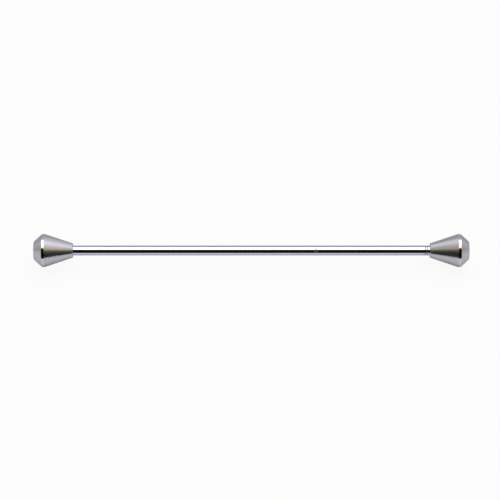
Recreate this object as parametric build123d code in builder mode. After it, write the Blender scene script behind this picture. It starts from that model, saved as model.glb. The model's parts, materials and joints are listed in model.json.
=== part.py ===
"""A polished magic wand: a chromed tube with a turned knob screwed onto a stud at each end.

Millimetres. The wand lies along X with its centre at the origin, +Z up. The right end is +X.
Both ends take the same stud, soft washer and knob. The left knob's socket swallows the end of the
tube. At the right end the tube stops short, and a flanged ferrule and a spacer collar fill the gap.
Threads are plain cylinders here: the studs are tight in the plugs and run free in the knobs.
"""

from build123d import *

import math
import os

# Driving sizes
wand_length = 304.8
knob_gap = 250.0
shaft_diameter = 7.0
tube_wall = 0.7
edge_break = 0.15
seam_bevel = 0.25

# Knob, from its neck (the end against the shaft) outward
knob_neck_diameter = 10.0
knob_band_diameter = 23.2
knob_face_diameter = 12.6
knob_band_width = 1.9
knob_crown_length = 5.8
knob_neck_round = 0.4
knob_cone_round = 2.0
knob_crown_round = 0.3
knob_face_round = 0.6
socket_depth = 4.8

# Stud and its thread, M4
thread_diameter = 3.94
running_clearance = 0.05
stud_length = 24.0
stud_engagement = 12.2
stud_end_chamfer = 0.5
stud_slot_width = 0.7
stud_slot_depth = 1.0
bore_spare_depth = 2.2
drill_point_angle = 118.0

# Pieces inside and between
plug_length = 12.0
washer_thickness = 0.8
ferrule_flange = 1.4
collar_showing = 1.8

# Eyelet across the tube, for a thread; it leans back so that its front mouth faces forward and up
eyelet_x = 45.3
eyelet_elevation = 50.0
eyelet_bore_diameter = 0.9
eyelet_barrel_diameter = 1.8
eyelet_lip_diameter = 2.8
eyelet_lip_height = 0.15

# How close a round edge's radius must be for circles_at to choose it
radius_tolerance = 0.001

# Worked out from the above
shaft_radius = shaft_diameter / 2
tube_bore_radius = shaft_radius - tube_wall
thread_radius = thread_diameter / 2
neck_x = knob_gap / 2
face_x = wand_length / 2
crown_x = face_x - knob_crown_length
cone_end_x = crown_x - knob_band_width
socket_floor_x = neck_x + socket_depth
stud_tip_x = socket_floor_x + stud_engagement
stud_root_x = stud_tip_x - stud_length
shaft_end_x = socket_floor_x - washer_thickness
collar_x = neck_x - collar_showing
tube_right_x = collar_x - ferrule_flange
thread_hole_radius = thread_radius + running_clearance
drill_point_length = thread_hole_radius / math.tan(math.radians(drill_point_angle / 2))
eyelet_lean = math.radians(eyelet_elevation)
eyelet_plane = Plane(
    origin=(eyelet_x, 0, 0),
    x_dir=(1, 0, 0),
    z_dir=(0, -math.cos(eyelet_lean), math.sin(eyelet_lean)),
)

LEFT = -1
RIGHT = 1


def profile_plane(side):
    """The plane of a turned profile: its x runs outward along the wand, its y is the radius."""
    return Plane(origin=(0, 0, 0), x_dir=(side, 0, 0), z_dir=(0, -1, 0))


def inward_plane(side, distance):
    """A plane across the wand, this far from its centre, facing the centre."""
    return Plane(origin=(side * distance, 0, 0), z_dir=(-side, 0, 0))


def finish(piece, label):
    """Name a finished piece and write it."""
    piece.part.label = label
    export_step(piece.part, f"parts/{label}.step")


def circles_at(piece, side, distance, radius):
    """The round edges of a turned piece that lie this far from the wand's centre at this radius."""
    rings = piece.edges().filter_by(GeomType.CIRCLE)
    at_distance = rings.filter_by_position(Axis.X, side * distance, side * distance)
    return at_distance.filter_by(lambda edge: abs(edge.radius - radius) < radius_tolerance)


def make_knob(side, label):
    """A solid turned knob with a socket for the shaft's end and a blind threaded bore."""
    with BuildPart() as knob:
        with BuildSketch(profile_plane(side)):
            with BuildLine():
                Polyline(
                    (neck_x, 0),
                    (neck_x, knob_neck_diameter / 2),
                    (cone_end_x, knob_band_diameter / 2),
                    (crown_x, knob_band_diameter / 2),
                    (face_x, knob_face_diameter / 2),
                    (face_x, 0),
                    close=True,
                )
            make_face()
        revolve(axis=Axis.X)
        fillet(circles_at(knob, side, neck_x, knob_neck_diameter / 2), knob_neck_round)
        fillet(circles_at(knob, side, cone_end_x, knob_band_diameter / 2), knob_cone_round)
        fillet(circles_at(knob, side, crown_x, knob_band_diameter / 2), knob_crown_round)
        fillet(circles_at(knob, side, face_x, knob_face_diameter / 2), knob_face_round)
        with Locations(inward_plane(side, neck_x)):
            CounterBoreHole(
                radius=thread_hole_radius,
                counter_bore_radius=shaft_radius + running_clearance,
                counter_bore_depth=socket_depth,
                depth=socket_depth + stud_engagement + bore_spare_depth,
            )
        bore_end_x = stud_tip_x + bore_spare_depth
        with Locations(inward_plane(side, bore_end_x + drill_point_length / 2)):
            Cone(
                bottom_radius=0,
                top_radius=thread_hole_radius,
                height=drill_point_length,
                mode=Mode.SUBTRACT,
            )
        chamfer(circles_at(knob, side, neck_x, shaft_radius + running_clearance), edge_break)
    finish(knob, label)


def make_stud(side, label):
    """A headless screw with a chamfer at both ends and a driver slot at the outer one."""
    with BuildPart() as stud:
        with BuildSketch(inward_plane(side, stud_tip_x)):
            Circle(thread_radius)
        extrude(amount=stud_length)
        chamfer(stud.edges().filter_by(GeomType.CIRCLE), stud_end_chamfer)
        with BuildSketch(inward_plane(side, stud_tip_x)):
            Rectangle(thread_diameter, stud_slot_width)
        extrude(amount=stud_slot_depth, mode=Mode.SUBTRACT)
    finish(stud, label)


def make_shaft_tube():
    """The chromed tube, with a hole straight across it for the eyelet."""
    with BuildPart() as tube:
        with BuildSketch(Plane.YZ.offset(-shaft_end_x)):
            Circle(shaft_radius)
            Circle(tube_bore_radius, mode=Mode.SUBTRACT)
        extrude(amount=shaft_end_x + tube_right_x)
        outer_rims = tube.edges().filter_by(GeomType.CIRCLE).group_by(SortBy.RADIUS)[-1]
        chamfer(outer_rims, seam_bevel)
        with BuildSketch(eyelet_plane):
            Circle(eyelet_barrel_diameter / 2)
        extrude(amount=shaft_diameter, both=True, mode=Mode.SUBTRACT)
    finish(tube, "shaft_tube")


def make_thread_eyelet():
    """A tubular eyelet through both walls of the tube, with thin lips rolled down onto the chrome."""
    near_side = Plane.YZ.offset(eyelet_x - eyelet_lip_diameter)
    with BuildPart() as lips:
        with BuildSketch(near_side):
            Circle(shaft_radius + eyelet_lip_height)
            Circle(shaft_radius, mode=Mode.SUBTRACT)
        extrude(amount=2 * eyelet_lip_diameter)
        with BuildSketch(eyelet_plane):
            Circle(eyelet_lip_diameter / 2)
        extrude(amount=shaft_diameter, both=True, mode=Mode.INTERSECT)
    with BuildPart() as eyelet:
        with BuildSketch(eyelet_plane):
            Circle(eyelet_barrel_diameter / 2)
        extrude(amount=shaft_diameter, both=True)
        with BuildSketch(near_side):
            Circle(shaft_radius)
        extrude(amount=2 * eyelet_lip_diameter, mode=Mode.INTERSECT)
        add(lips.part)
        with BuildSketch(eyelet_plane):
            Circle(eyelet_bore_diameter / 2)
        extrude(amount=shaft_diameter, both=True, mode=Mode.SUBTRACT)
    finish(eyelet, "thread_eyelet")


def make_left_end_plug():
    """The threaded plug pressed into the left end of the tube, flush with it."""
    with BuildPart() as plug:
        with BuildSketch(inward_plane(LEFT, shaft_end_x)):
            Circle(tube_bore_radius)
            Circle(thread_radius, mode=Mode.SUBTRACT)
        extrude(amount=plug_length)
    finish(plug, "left_end_plug")


def make_right_end_ferrule():
    """The threaded plug in the right end of the tube, with a flange as wide as the tube."""
    with BuildPart() as ferrule:
        with BuildSketch(inward_plane(RIGHT, collar_x)):
            Circle(shaft_radius)
        extrude(amount=ferrule_flange)
        chamfer(ferrule.edges().filter_by(GeomType.CIRCLE), seam_bevel)
        with BuildSketch(inward_plane(RIGHT, tube_right_x)):
            Circle(tube_bore_radius)
        extrude(amount=plug_length)
        with Locations(inward_plane(RIGHT, collar_x)):
            Hole(radius=thread_radius, depth=ferrule_flange + plug_length)
    finish(ferrule, "right_end_ferrule")


def make_right_spacer_collar():
    """The loose collar that sits in the right knob's socket and shows between knob and ferrule."""
    with BuildPart() as collar:
        with BuildSketch(inward_plane(RIGHT, shaft_end_x)):
            Circle(shaft_radius)
        extrude(amount=shaft_end_x - collar_x)
        chamfer(collar.edges().filter_by(GeomType.CIRCLE), seam_bevel)
        with Locations(inward_plane(RIGHT, shaft_end_x)):
            Hole(radius=thread_hole_radius, depth=shaft_end_x - collar_x)
    finish(collar, "right_spacer_collar")


def make_friction_washer(side, label):
    """The soft washer at the bottom of a knob's socket, which stops the knob working loose."""
    with BuildPart() as washer:
        with BuildSketch(inward_plane(side, socket_floor_x)):
            Circle(shaft_radius - running_clearance)
            Circle(thread_hole_radius, mode=Mode.SUBTRACT)
        extrude(amount=washer_thickness)
    finish(washer, label)


os.makedirs("parts", exist_ok=True)
make_shaft_tube()
make_thread_eyelet()
make_left_end_plug()
make_right_end_ferrule()
make_right_spacer_collar()
for side, side_name in ((LEFT, "left"), (RIGHT, "right")):
    make_friction_washer(side, f"{side_name}_friction_washer")
    make_stud(side, f"{side_name}_stud")
    make_knob(side, f"{side_name}_knob")
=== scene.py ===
"""The looks of a magic wand: turned, chromed and moulded pieces in place of the plain CAD ones.

Metres, in the CAD's frame, with the wand along X and its axis through the origin. The camera looks
down on it through a long lens, over a pale table.
"""

import json
import math
from types import SimpleNamespace

import bmesh
import bpy
from mathutils import Matrix, Vector


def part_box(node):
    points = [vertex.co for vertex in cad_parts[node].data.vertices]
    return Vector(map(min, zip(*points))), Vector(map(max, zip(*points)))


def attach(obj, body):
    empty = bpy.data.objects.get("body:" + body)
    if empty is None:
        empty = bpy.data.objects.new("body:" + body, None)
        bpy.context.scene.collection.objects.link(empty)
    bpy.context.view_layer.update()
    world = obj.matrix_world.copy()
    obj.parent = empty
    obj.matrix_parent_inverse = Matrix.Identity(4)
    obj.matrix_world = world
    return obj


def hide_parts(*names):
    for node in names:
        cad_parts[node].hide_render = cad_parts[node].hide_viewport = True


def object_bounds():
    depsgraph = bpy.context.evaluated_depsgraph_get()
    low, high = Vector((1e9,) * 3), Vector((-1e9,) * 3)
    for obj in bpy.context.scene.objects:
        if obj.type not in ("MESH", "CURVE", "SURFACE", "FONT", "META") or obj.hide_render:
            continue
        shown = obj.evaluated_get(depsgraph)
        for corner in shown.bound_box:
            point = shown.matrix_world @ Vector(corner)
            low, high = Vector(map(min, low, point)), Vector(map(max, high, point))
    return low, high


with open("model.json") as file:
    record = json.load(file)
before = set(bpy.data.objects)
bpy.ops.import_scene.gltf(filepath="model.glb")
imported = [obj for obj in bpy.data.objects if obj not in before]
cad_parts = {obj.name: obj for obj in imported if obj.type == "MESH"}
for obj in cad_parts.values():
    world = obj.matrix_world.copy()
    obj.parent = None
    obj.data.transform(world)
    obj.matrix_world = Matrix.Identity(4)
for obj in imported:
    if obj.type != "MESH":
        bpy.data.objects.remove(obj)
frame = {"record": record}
cad_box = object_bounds()

MM = 0.001
TURN = 2 * math.pi

# Sizes that the CAD boxes don't give, as in the CAD source
SHAFT_RADIUS = 3.5 * MM
TUBE_WALL = 0.7 * MM
FLANGE_LENGTH = 1.4 * MM
EDGE_BREAK = 0.15 * MM
SEAM_BEVEL = 0.25 * MM
CLEARANCE = 0.05 * MM
KNOB_NECK_RADIUS = 5.0 * MM
KNOB_FACE_RADIUS = 6.3 * MM
KNOB_BAND_WIDTH = 1.9 * MM
KNOB_CROWN_LENGTH = 5.8 * MM
NECK_ROUND = 0.4 * MM
CONE_ROUND = 2.0 * MM
CROWN_ROUND = 0.3 * MM
FACE_ROUND = 0.6 * MM
SOCKET_RADIUS = SHAFT_RADIUS + CLEARANCE
SOCKET_DEPTH = 4.8 * MM
THREAD_RADIUS = 1.97 * MM
BORE_RADIUS = THREAD_RADIUS + CLEARANCE
BORE_DEPTH = 19.2 * MM
DRILL_POINT = 1.21 * MM
EYELET_BARREL_RADIUS = 0.9 * MM

# The studs' rolled M4 thread. A flank falls this many depths to a pitch, less the share for its crest
THREAD_PITCH = 0.7 * MM
THREAD_DEPTH = 0.38 * MM
THREAD_FLANK = 2.6
THREAD_CREST = 0.25

# The studs' chamfered ends and driver slot
STUD_CHAMFER = 0.5 * MM
SLOT_WIDTH = 0.7 * MM
SLOT_DEPTH = 1.0 * MM

# The polish of a knob's band reaches this far down the rounded edges beside it
BAND_POLISH_DEPTH = 0.01 * MM

# How finely round things are drawn
AROUND = 256
AROUND_HOLE = 64
AROUND_EYELET = 96
AROUND_STUD = 72
STEPS_PER_PITCH = 12
CORNER_STEPS = 6
LIP_STEPS = 10

# The tube's rings: few along its plain stretches, many up to this margin either side of its hole
RINGS_LONG_STRETCH = 24
RINGS_SHORT_STRETCH = 10
RINGS_AT_HOLE = 32
HOLE_MARGIN = 2 * MM

# Edges that turn by more than this are shaded crisp, and points closer than this are made one
CRISP_ANGLE = math.radians(28)
WELD_DISTANCE = 0.0001 * MM

# Noise: how many features lie along a metre
TOOL_MARKS = 9000
TOOL_CHATTER = 1500
HAIRLINES = 9000
FINGER_MARKS = 160
WIPE_MARKS = 90
PLATE_WAVES = 45
OIL_MOTTLE = 2500
BRASS_RINGS = 7000
BRASS_TARNISH = 700
NYLON_GRAIN = 4000
TABLE_GRAIN = 25
# Hairlines run along the wand, and are this many times as long as wide
HAIRLINE_STRETCH = 25

# The camera. Its elevation is the turn up from the horizon in front of the wand, and its offsets
# move the frame's middle off the wand's
CAMERA_ELEVATION = math.radians(58.5)
CAMERA_LENS = 180
CAMERA_SENSOR = 36
FRAME_OVER_WAND = 1.1495
CAMERA_OFFSET_X = -0.95 * MM
CAMERA_OFFSET_UP = 0.35 * MM

# The softbox, above and a little behind the wand. Its edges are turns up from the same horizon
SOFTBOX_FRONT = math.radians(79.5)
SOFTBOX_BACK = math.radians(138.5)
SOFTBOX_DISTANCE = 4
SOFTBOX_LENGTH = 1.4
SOFTBOX_POWER = 45
SOFTBOX_COLOUR = (1.0, 0.97, 0.89)

# Where the room's colours give way to each other, by x from 0 in its middle to -1 and 1 at its ends.
# The last two are the same on both sides
LEFT_TO_RIGHT = (-0.1, 0.1)
MIDDLE_TO_SIDE = (0.16, 0.30)
SIDE_TO_END = (0.70, 0.90)

# The table. The fill is the share of its brightness to the camera that is not from the softbox.
# In the metal the table is painted darker over this stretch behind the wand, as painted shade
FLOOR_RADIUS = 6
FLOOR_SIDES = 96
FLOOR_FILL = 0.93
FLOOR_GLOW_IN_METAL = 0.22
PAINTED_SHADE_STRETCH = 20 * MM


# ---------------------------------------------------------------- meshes


def new_object(name, build):
    """A new object whose mesh is what build(bm) makes."""
    bm = bmesh.new()
    build(bm)
    bmesh.ops.remove_doubles(bm, verts=bm.verts, dist=WELD_DISTANCE)
    bmesh.ops.recalc_face_normals(bm, faces=bm.faces)
    mesh = bpy.data.meshes.new(name)
    bm.to_mesh(mesh)
    bm.free()
    made = bpy.data.objects.new(name, mesh)
    bpy.context.scene.collection.objects.link(made)
    return made


def shade(made):
    """Smooth shading, kept crisp where the surface turns sharply."""
    bm = bmesh.new()
    bm.from_mesh(made.data)
    for face in bm.faces:
        face.smooth = True
    for edge in bm.edges:
        edge.smooth = len(edge.link_faces) == 2 and edge.calc_face_angle() < CRISP_ANGLE
    bm.to_mesh(made.data)
    bm.free()


def rounded(corners):
    """An outline from (x, radius, rounding) corners, with an arc at each rounded one."""
    points = []
    last = len(corners) - 1
    for i, (x, radius, rounding) in enumerate(corners):
        corner = Vector((x, radius))
        if not rounding or i in (0, last):
            points.append(corner)
            continue
        back = (Vector(corners[i - 1][:2]) - corner).normalized()
        ahead = (Vector(corners[i + 1][:2]) - corner).normalized()
        half = back.angle(ahead) / 2
        middle = corner + (back + ahead).normalized() * rounding / math.sin(half)
        start = corner + back * rounding / math.tan(half) - middle
        end = corner + ahead * rounding / math.tan(half) - middle
        sweep = start.angle_signed(end)
        for step in range(CORNER_STEPS + 1):
            turned = Matrix.Rotation(-sweep * step / CORNER_STEPS, 2) @ start
            points.append(middle + turned)
    return points


def between(start, end, count):
    """count points evenly spread from start towards end, without end itself."""
    start, end = Vector(start), Vector(end)
    return [start.lerp(end, step / count) for step in range(count)]


def bridge(bm, low, high):
    """A band of faces between two rings of vertices."""
    for step in range(len(low)):
        after = (step + 1) % len(low)
        bm.faces.new((low[step], low[after], high[after], high[step]))


def lathe(name, outline, closed=True):
    """A solid turned about the wand's axis from (x, radius) points, closed from the last to the first."""

    def build(bm):
        rings = []
        for x, radius in outline:
            ring = []
            for step in range(AROUND):
                angle = TURN * step / AROUND
                ring.append(bm.verts.new((x, radius * math.sin(angle), radius * math.cos(angle))))
            rings.append(ring)
        for low, high in zip(rings, rings[1:]):
            bridge(bm, low, high)
        if closed:
            bridge(bm, rings[-1], rings[0])

    return new_object(name, build)


def cut(made, cutter):
    """Takes the cutter's shape out of a piece, then removes the cutter and any slivers."""
    difference = made.modifiers.new("cut", "BOOLEAN")
    difference.operation = "DIFFERENCE"
    difference.solver = "EXACT"
    difference.object = cutter
    bpy.context.view_layer.update()
    depsgraph = bpy.context.evaluated_depsgraph_get()
    mesh = bpy.data.meshes.new_from_object(made.evaluated_get(depsgraph))
    made.modifiers.clear()
    made.data = mesh
    bpy.data.objects.remove(cutter)
    bm = bmesh.new()
    bm.from_mesh(mesh)
    bmesh.ops.dissolve_degenerate(bm, dist=WELD_DISTANCE, edges=bm.edges)
    bm.to_mesh(mesh)
    bm.free()


def settle(made, node, slot_name, *materials):
    """Puts a finished piece in the place of its CAD node, on the same body."""
    shade(made)
    for material in materials:
        made.data.materials.append(material)
    body = next(b for b, nodes in frame["record"]["behaviour"]["bodies"].items() if node in nodes)
    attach(made, body)
    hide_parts(node)


def ends(node):
    """Where a node starts and stops along the wand, and its radius."""
    low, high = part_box(node)
    return low.x, high.x, (high.z - low.z) / 2


# ---------------------------------------------------------------- node trees


class Nodes:
    """A short way to write a node tree: each call adds a node and returns its first output."""

    def __init__(self, tree):
        self.tree = tree
        self.tree.nodes.clear()

    def feed(self, socket, value):
        """Links an output to an input, or sets the input to a plain value."""
        if isinstance(value, bpy.types.NodeSocket):
            self.tree.links.new(value, socket)
        else:
            socket.default_value = value

    def add(self, kind, *inputs, **settings):
        """Adds a node with these settings, feeding its inputs in order or by name."""
        node = self.tree.nodes.new("ShaderNode" + kind)
        named = settings.pop("inputs", {})
        for key, value in settings.items():
            setattr(node, key, value)
        for socket, value in zip(node.inputs, inputs):
            self.feed(socket, value)
        for key, value in named.items():
            self.feed(node.inputs[key], value)
        return node

    def math(self, operation, *values):
        return self.add("Math", *values, operation=operation).outputs[0]

    def mix(self, factor, low, high):
        """A number between low and high."""
        node = self.add("Mix", data_type="FLOAT")
        self.feed(node.inputs[0], factor)
        self.feed(node.inputs[2], low)
        self.feed(node.inputs[3], high)
        return node.outputs[0]

    def blend(self, factor, low, high):
        """A colour between low and high."""
        node = self.add("Mix", data_type="RGBA")
        self.feed(node.inputs[0], factor)
        self.feed(node.inputs[6], low)
        self.feed(node.inputs[7], high)
        return node.outputs[2]

    def span(self, value, low, high, to_low=0.0, to_high=1.0):
        """Maps low..high to to_low..to_high smoothly, and holds it outside."""
        node = self.add("MapRange", value, low, high, to_low, to_high, interpolation_type="SMOOTHSTEP")
        return node.outputs[0]

    def noise(self, vector, scale, detail=2.0, roughness=0.5):
        named = {"Vector": vector, "Scale": scale, "Detail": detail, "Roughness": roughness}
        return self.add("TexNoise", inputs=named).outputs[0]

    def vector(self, x, y, z):
        return self.add("CombineXYZ", x, y, z).outputs[0]

    def bump(self, height, distance, strength=1.0):
        named = {"Height": height, "Distance": distance, "Strength": strength}
        return self.add("Bump", inputs=named).outputs[0]

    def camera_ray(self):
        """1 where the camera sees the surface itself, 0 where it sees it in a mirror."""
        return self.add("LightPath").outputs["Is Camera Ray"]

    def point(self):
        """The point being shaded: whole, its x and y, its radius from the wand's axis, its angle round it."""
        whole = self.add("TexCoord").outputs["Object"]
        x, y, z = self.add("SeparateXYZ", whole).outputs
        squares = self.math("ADD", self.math("MULTIPLY", y, y), self.math("MULTIPLY", z, z))
        radius = self.math("SQRT", squares)
        angle = self.math("ARCTAN2", y, z)
        return SimpleNamespace(whole=whole, x=x, y=y, radius=radius, angle=angle)

    def ramp(self, position, stops):
        """A colour read off a row of (position, colour) stops."""
        node = self.add("ValToRGB", position)
        elements = node.color_ramp.elements
        while len(elements) < len(stops):
            elements.new(0.5)
        for element, (stop, colour) in zip(elements, stops):
            element.position = stop
            element.color = colour
        return node.outputs[0]


class Surface(Nodes):
    """A new material on a principled surface."""

    def __init__(self, name):
        self.material = bpy.data.materials.new(name)
        self.material.use_nodes = True
        super().__init__(self.material.node_tree)
        self.surface = self.add("BsdfPrincipled")
        self.add("OutputMaterial", self.surface.outputs[0])

    def finish(self, **values):
        """Feeds the surface's inputs by name, with _ for a space, and returns the material."""
        for key, value in values.items():
            self.feed(self.surface.inputs[key.replace("_", " ")], value)
        return self.material


def grey(level, blue=0.0):
    """An opaque grey, cooled by blue."""
    return (level, level, level + blue, 1)


def dim(colour, share):
    """An opaque colour, brighter or darker by a share."""
    red, green, blue = (share * part for part in colour[:3])
    return (red, green, blue, 1)


# The colours of the room, of the table's glow in metal (SKY) and of the painted shade in seams and holes
BLACK = grey(0.006)
SEAM_SHADE = grey(0.03)
BACKDROP = grey(0.975)
LILAC = (0.66, 0.65, 0.74, 1)
LIGHT = (1.22, 1.20, 1.34, 1)
OLIVE = (0.82, 0.75, 0.55, 1)
WARM = (1.35, 1.12, 0.70, 1)
SKY = (0.75, 0.82, 1.00, 1)


# ---------------------------------------------------------------- materials


def turned_metal(name, level, roughness, ring_depth, anisotropy):
    """Lathe-turned metal: fine rings round the axis, stretched highlights, uneven polish."""
    n = Surface(name)
    at = n.point()
    profile = n.vector(at.x, at.radius, 0)
    fine = n.noise(profile, TOOL_MARKS, detail=3, roughness=0.6)
    broad = n.noise(profile, TOOL_CHATTER)
    smudge = n.noise(at.whole, FINGER_MARKS, detail=4, roughness=0.6)
    tone = n.mix(0.5, fine, broad)
    colour = n.blend(tone, grey(level * 0.88, 0.015), grey(level * 1.10, 0.005))
    rough = n.mix(broad, roughness * 0.85, roughness * 1.15)
    rough = n.math("ADD", rough, n.span(smudge, 0.52, 0.75, 0.0, 0.05))
    tangent = n.add("Tangent", direction_type="RADIAL", axis="X").outputs[0]
    return n.finish(Base_Color=colour, Metallic=1.0, Roughness=rough, Anisotropic=anisotropy,
                    Anisotropic_Rotation=0.25, Tangent=tangent, Normal=n.bump(fine, ring_depth),
                    Specular_Tint=grey(0.7))


def polished_metal(name, level, roughness, blue=0.03, seam_radius=0):
    """Mirror-polished plate: hairline scratches, finger smudges, and painted shade in the seams and holes
    just under seam_radius.
    """
    n = Surface(name)
    at = n.point()
    round_wand = n.math("MULTIPLY", at.angle, SHAFT_RADIUS)
    along = n.math("MULTIPLY", at.x, 1 / HAIRLINE_STRETCH)
    hairs = n.noise(n.vector(along, round_wand, at.radius), HAIRLINES)
    scratch = n.span(hairs, 0.66, 0.72)
    smudge = n.noise(n.vector(at.x, round_wand, 0), WIPE_MARKS, detail=5, roughness=0.65)
    film = n.span(smudge, 0.5, 0.72)
    # Painted shade: near black just under seam_radius, in the seams between parts and inside the holes
    depth = n.math("SUBTRACT", seam_radius, at.radius)
    seam_shade = n.math("MULTIPLY", n.span(depth, 0, SEAM_BEVEL),
                   n.span(depth, 1.2 * SEAM_BEVEL, 2 * SEAM_BEVEL, 1, 0))
    rough = n.mix(film, roughness, roughness + 0.04)
    rough = n.mix(scratch, rough, roughness + 0.12)
    rough = n.mix(seam_shade, rough, 0.4)
    tint = n.blend(film, grey(level, blue), grey(level * 0.94, blue))
    tint = n.blend(seam_shade, tint, SEAM_SHADE)
    normal = n.bump(n.noise(at.whole, PLATE_WAVES, detail=1), 0.002 * MM, 0.35)
    return n.finish(Base_Color=tint, Metallic=1.0, Roughness=rough, Normal=normal,
                    Specular_Tint=grey(0.7))


def threaded_steel(name):
    """Zinc-plated rolled thread: bright crests, darker roots."""
    n = Surface(name)
    at = n.point()
    crest = n.span(at.radius, THREAD_RADIUS - 0.35 * MM, THREAD_RADIUS - 0.05 * MM)
    mottle = n.noise(at.whole, OIL_MOTTLE, detail=3)
    colour = n.blend(crest, (0.10, 0.10, 0.11, 1), (0.58, 0.58, 0.60, 1))
    colour = n.blend(n.math("MULTIPLY", mottle, 0.35), colour, (0.42, 0.40, 0.36, 1))
    return n.finish(Base_Color=colour, Metallic=1.0, Roughness=n.mix(crest, 0.5, 0.24),
                    Normal=n.bump(mottle, 0.006 * MM))


def turned_brass(name):
    """Brass as it leaves the lathe, slightly tarnished."""
    n = Surface(name)
    at = n.point()
    rings = n.noise(n.vector(at.x, at.radius, 0), BRASS_RINGS)
    tarnish = n.noise(at.whole, BRASS_TARNISH, detail=4)
    colour = n.blend(tarnish, (0.80, 0.60, 0.28, 1), (0.55, 0.40, 0.20, 1))
    return n.finish(Base_Color=colour, Metallic=1.0, Roughness=n.mix(tarnish, 0.22, 0.42),
                    Normal=n.bump(rings, 0.005 * MM))


def nylon(name):
    """Natural nylon: cream, a little translucent, finely grained."""
    n = Surface(name)
    grain = n.noise(n.point().whole, NYLON_GRAIN, detail=3)
    colour = n.blend(grain, (0.78, 0.76, 0.68, 1), (0.88, 0.86, 0.80, 1))
    return n.finish(Base_Color=colour, Roughness=n.mix(grain, 0.45, 0.6),
                    Normal=n.bump(grain, 0.01 * MM),
                    Subsurface_Weight=0.15, Subsurface_Scale=0.8 * MM)


def pale_floor(name):
    """A plain pale matt table, lit mostly from below, so the camera sees only faint shadows.

    The metal mirrors it cooler, through a painted cool glow, and darker behind the wand, through painted
    shade.
    """
    n = Surface(name)
    at = n.point()
    camera = n.camera_ray()
    grain = n.noise(at.whole, TABLE_GRAIN, detail=4)
    seen = n.blend(grain, grey(0.91 * (1 - FLOOR_FILL)), grey(0.93 * (1 - FLOOR_FILL)))
    # Seen only in the metal: a painted cool tone, painted darker behind the wand as painted shade
    painted_tone_in_metal = n.blend(n.span(at.y, 0, PAINTED_SHADE_STRETCH), (0.87, 0.89, 0.94, 1), grey(0.6))
    # The camera sees an even glow, and the metal a painted cool glow
    glow = n.blend(camera, dim(SKY, FLOOR_GLOW_IN_METAL), grey(0.99 * FLOOR_FILL))
    return n.finish(Base_Color=n.blend(camera, painted_tone_in_metal, seen), Roughness=0.75,
                    Specular_IOR_Level=0.0, Emission_Color=glow, Emission_Strength=1.0)


SHAFT_CHROME = polished_metal("shaft_chrome", 0.48, 0.035, 0.08, SHAFT_RADIUS)
FERRULE_CHROME = polished_metal("ferrule_chrome", 0.48, 0.04, 0.08, SHAFT_RADIUS)
COLLAR_CHROME = polished_metal("collar_chrome", 0.48, 0.04, 0.08, SHAFT_RADIUS)
EYELET_NICKEL = polished_metal("eyelet_black_nickel", 0.16, 0.22, -0.01, SHAFT_RADIUS)
KNOB_SATIN = turned_metal("knob_satin", 0.44, 0.24, 0.004 * MM, 0.75)
KNOB_BAND = polished_metal("knob_polished_band", 0.50, 0.05)
KNOB_BORE = turned_metal("knob_machined_bore", 0.45, 0.35, 0.008 * MM, 0.4)
STUD_STEEL = threaded_steel("stud_steel")
PLUG_BRASS = turned_brass("plug_brass")
WASHER_NYLON = nylon("washer_nylon")


# ---------------------------------------------------------------- pieces


def eyelet_hole():
    """The record's mount for the hole through the eyelet."""
    return next(m for m in frame["record"]["mounts"] if m["name"] == "thread_eyelet_hole")


def make_knob(node, side):
    """A turned knob: neck, cone, polished band, crown and face, with its socket and bore."""
    low, high, band_radius = ends(node)
    neck, face = (low, high) if side > 0 else (high, low)
    crown = face - side * KNOB_CROWN_LENGTH
    cone_end = crown - side * KNOB_BAND_WIDTH
    socket_floor = neck + side * SOCKET_DEPTH
    bore_end = neck + side * BORE_DEPTH
    drill_tip = bore_end + side * DRILL_POINT
    mouth_radius = SOCKET_RADIUS + EDGE_BREAK
    corners = [
        (drill_tip, 0, 0),
        (bore_end, BORE_RADIUS, 0),
        (socket_floor, BORE_RADIUS, 0),
        (socket_floor, SOCKET_RADIUS, 0),
        (neck + side * EDGE_BREAK, SOCKET_RADIUS, 0),
        (neck, mouth_radius, 0),
        (neck, KNOB_NECK_RADIUS, NECK_ROUND),
        (cone_end, band_radius, CONE_ROUND),
        (crown, band_radius, CROWN_ROUND),
        (face, KNOB_FACE_RADIUS, FACE_ROUND),
        (face, 0, 0),
    ]
    made = lathe(f"{node}_turned", rounded(corners), closed=False)
    materials = [KNOB_SATIN, KNOB_BAND, KNOB_BORE]
    settle(made, node, "knob_aluminium", *materials)
    band_low, band_high = sorted((cone_end, crown))
    for polygon in made.data.polygons:
        x, radius = polygon.center.x, polygon.center.yz.length
        if radius < mouth_radius and side * (drill_tip - x) > 0:
            polygon.material_index = materials.index(KNOB_BORE)
        elif band_low < x < band_high and radius > band_radius - BAND_POLISH_DEPTH:
            polygon.material_index = materials.index(KNOB_BAND)


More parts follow.
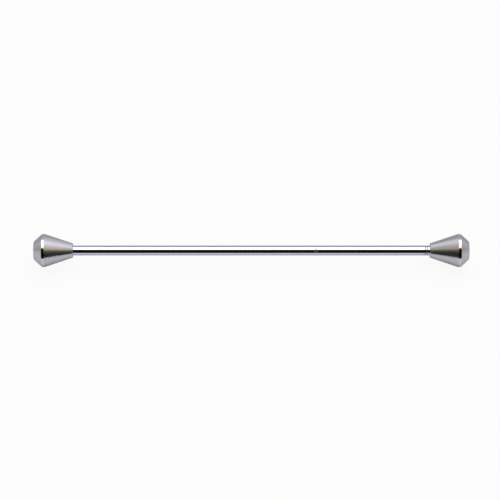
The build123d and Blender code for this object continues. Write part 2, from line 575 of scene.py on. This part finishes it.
def make_tube():
    """The chromed tube with its cross hole. Its rings are dense only around the hole."""
    low, high, radius = ends("shaft_tube")
    bore = radius - TUBE_WALL
    hole = eyelet_hole()
    middle = hole["pos_m"][0]
    near, far = middle - HOLE_MARGIN, middle + HOLE_MARGIN
    outline = [(low, bore), (low, radius - SEAM_BEVEL)]
    outline += between((low + SEAM_BEVEL, radius), (near, radius), RINGS_LONG_STRETCH)
    outline += between((near, radius), (far, radius), RINGS_AT_HOLE)
    outline += between((far, radius), (high - SEAM_BEVEL, radius), RINGS_SHORT_STRETCH)
    outline += [(high - SEAM_BEVEL, radius), (high, radius - SEAM_BEVEL)]
    outline += between((high, bore), (far, bore), RINGS_SHORT_STRETCH)
    outline += between((far, bore), (near, bore), RINGS_AT_HOLE)
    outline += between((near, bore), (low, bore), RINGS_LONG_STRETCH)
    made = lathe("shaft_tube_chromed", outline)
    cutter = new_object("hole_cutter", lambda bm: bmesh.ops.create_cone(
        bm, cap_ends=True, segments=AROUND_HOLE, radius1=EYELET_BARREL_RADIUS,
        radius2=EYELET_BARREL_RADIUS, depth=4 * radius))
    turn = Vector((0, 0, 1)).rotation_difference(Vector(hole["axis"])).to_matrix().to_4x4()
    cutter.matrix_world = Matrix.Translation((middle, 0, 0)) @ turn
    cut(made, cutter)
    settle(made, "shaft_tube", "shaft_chrome", SHAFT_CHROME)


def make_eyelet():
    """The eyelet: a barrel through the tube, rolled over at both mouths onto its round surface."""
    hole = eyelet_hole()
    out = Vector(hole["axis"])
    along = Vector((1, 0, 0))
    across = along.cross(out)
    tube_radius = ends("shaft_tube")[2]
    low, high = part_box("thread_eyelet")
    lip_radius = (high.x - low.x) / 2
    bore_radius = hole["dims"]["r_mm"] * MM
    lip_height = hole["dims"]["length_mm"] * MM / 2 - tube_radius
    lip_middle = (lip_radius + bore_radius) / 2
    # Each point is (distance from the eyelet's axis, share of the way out to the chrome, height above it)
    outline = [(bore_radius, 0, 0)]
    for step in range(LIP_STEPS + 1):
        angle = math.pi * step / LIP_STEPS
        distance = lip_middle - (lip_middle - bore_radius) * math.cos(angle)
        outline.append((distance, 1, lip_height * math.sin(angle)))
    outline += [(EYELET_BARREL_RADIUS, 1, 0), (EYELET_BARREL_RADIUS, 0, 0)]

    def build(bm):
        for mouth in (1, -1):
            rings = []
            for distance, share, height in outline:
                ring = []
                for step in range(AROUND_EYELET):
                    angle = TURN * step / AROUND_EYELET
                    reach = distance * math.sin(angle)
                    surface = math.sqrt(tube_radius ** 2 - reach ** 2)
                    place = along * (hole["pos_m"][0] + distance * math.cos(angle)) + across * reach
                    place += out * mouth * (share * surface + height)
                    ring.append(bm.verts.new(place))
                rings.append(ring)
            for inner, outer in zip(rings, rings[1:]):
                bridge(bm, inner, outer)

    made = new_object("thread_eyelet_rolled", build)
    settle(made, "thread_eyelet", "eyelet_black_nickel", EYELET_NICKEL)


def make_stud(node, side):
    """A rolled-thread stud: one continuous helical groove, run out at both chamfered ends."""
    low, high, radius = ends(node)
    steps = int((high - low) / THREAD_PITCH * STEPS_PER_PITCH)

    def thread_radius(x, angle):
        """The thread's radius at a point: its flank goes from 0 on the crest to 1 at the root."""
        turn = (x / THREAD_PITCH - angle / TURN) % 1
        flank = min(1, max(0, abs(turn - 0.5) * THREAD_FLANK - THREAD_CREST))
        chamfer = radius - STUD_CHAMFER + min(x - low, high - x)
        return min(radius - THREAD_DEPTH * flank, chamfer)

    def build(bm):
        rings = []
        for step in range(steps + 1):
            x = low + (high - low) * step / steps
            ring = []
            for spoke in range(AROUND_STUD):
                angle = TURN * spoke / AROUND_STUD
                r = thread_radius(x, angle)
                ring.append(bm.verts.new((x, -r * math.sin(angle), r * math.cos(angle))))
            rings.append(ring)
        for before, later in zip(rings, rings[1:]):
            bridge(bm, before, later)
        bm.faces.new(rings[0])
        bm.faces.new(rings[-1])
        # The thread's four-sided faces are twisted, and the slot is only cut cleanly through flat ones
        bmesh.ops.triangulate(bm, faces=bm.faces)

    made = new_object(f"{node}_threaded", build)
    tip = high if side > 0 else low
    slot_size = Matrix.Diagonal((2 * SLOT_DEPTH, 3 * radius, SLOT_WIDTH, 1))
    slot = new_object("slot_cutter", lambda bm: bmesh.ops.create_cube(
        bm, size=1, matrix=Matrix.Translation((tip, 0, 0)) @ slot_size))
    cut(made, slot)
    settle(made, node, "stud_steel", STUD_STEEL)


def make_ring(node, name, slot_name, material, bore, corners):
    """A plain turned ring from outer (x, radius) corners, closed through its bore."""
    made = lathe(name, [*corners, (corners[-1][0], bore), (corners[0][0], bore)])
    settle(made, node, slot_name, material)


def bevelled(low, high, radius, bevel):
    """The outer corners of a ring from low to high, bevelled at both."""
    return [(low, radius - bevel), (low + bevel, radius), (high - bevel, radius), (high, radius - bevel)]


def make_collar():
    """The spacer collar, its corners broken so that its joint with the ferrule shows as a groove."""
    corners = bevelled(*ends("right_spacer_collar"), SEAM_BEVEL)
    make_ring("right_spacer_collar", "right_spacer_collar_turned", "collar_chrome",
              COLLAR_CHROME, BORE_RADIUS, corners)


def make_ferrule():
    """The flanged ferrule: only its flange shows, between the tube's end and the collar."""
    low, high, radius = ends("right_end_ferrule")
    flange = high - FLANGE_LENGTH
    plug_radius = radius - TUBE_WALL
    corners = [(low, plug_radius), (flange, plug_radius), *bevelled(flange, high, radius, SEAM_BEVEL)]
    make_ring("right_end_ferrule", "right_end_ferrule_turned", "ferrule_chrome",
              FERRULE_CHROME, THREAD_RADIUS, corners)


def make_plug():
    """The brass plug, flush with the left end of the tube."""
    low, high, radius = ends("left_end_plug")
    corners = [(low, radius - EDGE_BREAK), (low + EDGE_BREAK, radius), (high, radius)]
    make_ring("left_end_plug", "left_end_plug_turned", "plug_brass",
              PLUG_BRASS, THREAD_RADIUS, corners)


def make_washer(node):
    """A soft washer with slightly broken rims."""
    corners = bevelled(*ends(node), EDGE_BREAK)
    make_ring(node, f"{node}_moulded", "washer_nylon", WASHER_NYLON, BORE_RADIUS, corners)


make_tube()
make_eyelet()
make_plug()
make_ferrule()
make_collar()
for side, side_name in ((-1, "left"), (1, "right")):
    make_washer(f"{side_name}_friction_washer")
    make_stud(f"{side_name}_stud", side)
    make_knob(f"{side_name}_knob", side)


# ---------------------------------------------------------------- studio


def make_floor():
    """A wide pale table that the wand's two knobs rest on."""
    floor = new_object("floor", lambda bm: bmesh.ops.create_circle(
        bm, cap_ends=True, segments=FLOOR_SIDES, radius=FLOOR_RADIUS))
    floor.location = (0, 0, cad_box[0].z)
    floor.data.materials.append(pale_floor("pale_floor"))


def make_softbox():
    """One wide soft light above and a little behind the wand, facing it."""
    light = bpy.data.lights.new("softbox", "AREA")
    light.shape = "RECTANGLE"
    light.size = SOFTBOX_LENGTH
    light.size_y = 2 * SOFTBOX_DISTANCE * math.tan((SOFTBOX_BACK - SOFTBOX_FRONT) / 2)
    light.energy = SOFTBOX_POWER
    light.color = SOFTBOX_COLOUR
    softbox = bpy.data.objects.new("softbox", light)
    middle = (SOFTBOX_FRONT + SOFTBOX_BACK) / 2
    softbox.location = Vector((0, -math.cos(middle), math.sin(middle))) * SOFTBOX_DISTANCE
    softbox.rotation_euler = (math.pi / 2 - middle, 0, 0)
    bpy.context.scene.collection.objects.link(softbox)


def make_room():
    """What the metal mirrors: dark in front, soft grey over and behind, and plain white in view.

    The shaft and the bands mirror only what is square over the wand. A knob's cone faces the wand's
    middle and mirrors the far side of the room, so the left knob's shows the right side. The crowns
    mirror the ends of the room.
    """
    world = bpy.data.worlds.new("room")
    bpy.context.scene.world = world
    world.use_nodes = True
    n = Nodes(world.node_tree)
    direction = n.add("TexCoord").outputs["Generated"]
    x, y, z = n.add("SeparateXYZ", direction).outputs
    # The turn over the wand, from 0 in front through 0.5 overhead to 1 behind
    over = n.math("DIVIDE", n.math("ARCTAN2", z, n.math("MULTIPLY", y, -1)), math.pi)

    def sweep(*stops):
        """A colour for each turn over the wand, from (degrees, colour) stops."""
        return n.ramp(over, [(degrees / 180, colour) for degrees, colour in stops])

    middle = sweep((0, BLACK), (72, BLACK), (74, WARM), (80, WARM), (84, LILAC),
                   (137, dim(LILAC, 1.3)), (158, LILAC), (180, LILAC))
    left = sweep((0, BLACK), (35, BLACK), (45, dim(OLIVE, 0.06)), (59, dim(OLIVE, 0.25)),
                 (74, dim(OLIVE, 0.85)), (98, dim(OLIVE, 0.92)), (110, dim(LIGHT, 0.8)),
                 (135, dim(LIGHT, 1.05)), (152, dim(LILAC, 1.9)), (180, dim(LILAC, 0.5)))
    right = sweep((0, BLACK), (25, BLACK), (43, dim(OLIVE, 0.10)), (58.5, dim(OLIVE, 0.45)),
                  (72, dim(OLIVE, 1.25)), (90, dim(OLIVE, 1.32)), (101, dim(LIGHT, 1.1)),
                  (117, dim(LIGHT, 1.32)), (137, dim(LIGHT, 1.12)), (155, dim(LILAC, 1.6)),
                  (180, dim(LILAC, 1.8)))
    far_ends = sweep((0, grey(0.84)), (63, grey(0.58)), (117, grey(0.58)), (144, grey(0.88)))
    aside = n.math("ABSOLUTE", x)
    seen = n.blend(n.span(x, *LEFT_TO_RIGHT), left, right)
    seen = n.blend(n.span(aside, *MIDDLE_TO_SIDE), middle, seen)
    seen = n.blend(n.span(aside, *SIDE_TO_END), seen, far_ends)
    background = n.add("Background", n.blend(n.camera_ray(), seen, BACKDROP))
    n.add("OutputWorld", background.outputs[0])


def make_camera():
    """A long lens square-on to the wand, which fills the frame's width but for a margin."""
    low, high = cad_box
    distance = (high.x - low.x) * FRAME_OVER_WAND * CAMERA_LENS / CAMERA_SENSOR
    camera = bpy.data.cameras.new("camera")
    camera.lens = CAMERA_LENS
    camera.sensor_width = CAMERA_SENSOR
    made = bpy.data.objects.new("camera", camera)
    back = Vector((0, -math.cos(CAMERA_ELEVATION), math.sin(CAMERA_ELEVATION)))
    up = Vector((0, math.sin(CAMERA_ELEVATION), math.cos(CAMERA_ELEVATION)))
    aim = (low + high) / 2 + Vector((CAMERA_OFFSET_X, 0, 0)) + up * CAMERA_OFFSET_UP
    made.location = aim + back * distance
    made.rotation_euler = (math.pi / 2 - CAMERA_ELEVATION, 0, 0)
    bpy.context.scene.collection.objects.link(made)
    bpy.context.scene.camera = made


make_floor()
make_softbox()
make_room()
make_camera()
bpy.context.scene.view_settings.view_transform = "Standard"
